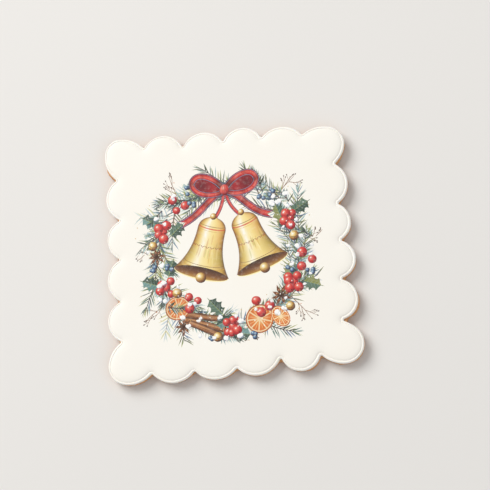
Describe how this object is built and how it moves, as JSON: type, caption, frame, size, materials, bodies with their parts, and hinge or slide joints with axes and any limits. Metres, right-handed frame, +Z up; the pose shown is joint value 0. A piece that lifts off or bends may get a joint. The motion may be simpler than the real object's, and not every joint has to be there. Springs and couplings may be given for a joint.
{
  "type": "iced scalloped square biscuit",
  "caption": "Large flat square gingerbread biscuit with scalloped edges, white icing with a rolled rim, and a printed sugar sheet on top showing a festive wreath.",
  "frame": {"origin": "middle of the outline's box, on the flat underside", "axes": "+Z up out of the iced face, +Y towards the top of the picture, +X to the right of the picture"},
  "size_m": [0.1628, 0.1624, 0.0092],
  "materials": {
    "baked_dough": "dry, crumbly, golden brown",
    "icing": "white, smooth, satin",
    "sugar_sheet": "cream, matt, with a printed watercolour wreath"
  },
  "bodies": {
    "root": {"biscuit": "baked_dough", "icing": "icing", "sugar_sheet": "sugar_sheet"}
  },
  "joints": []
}
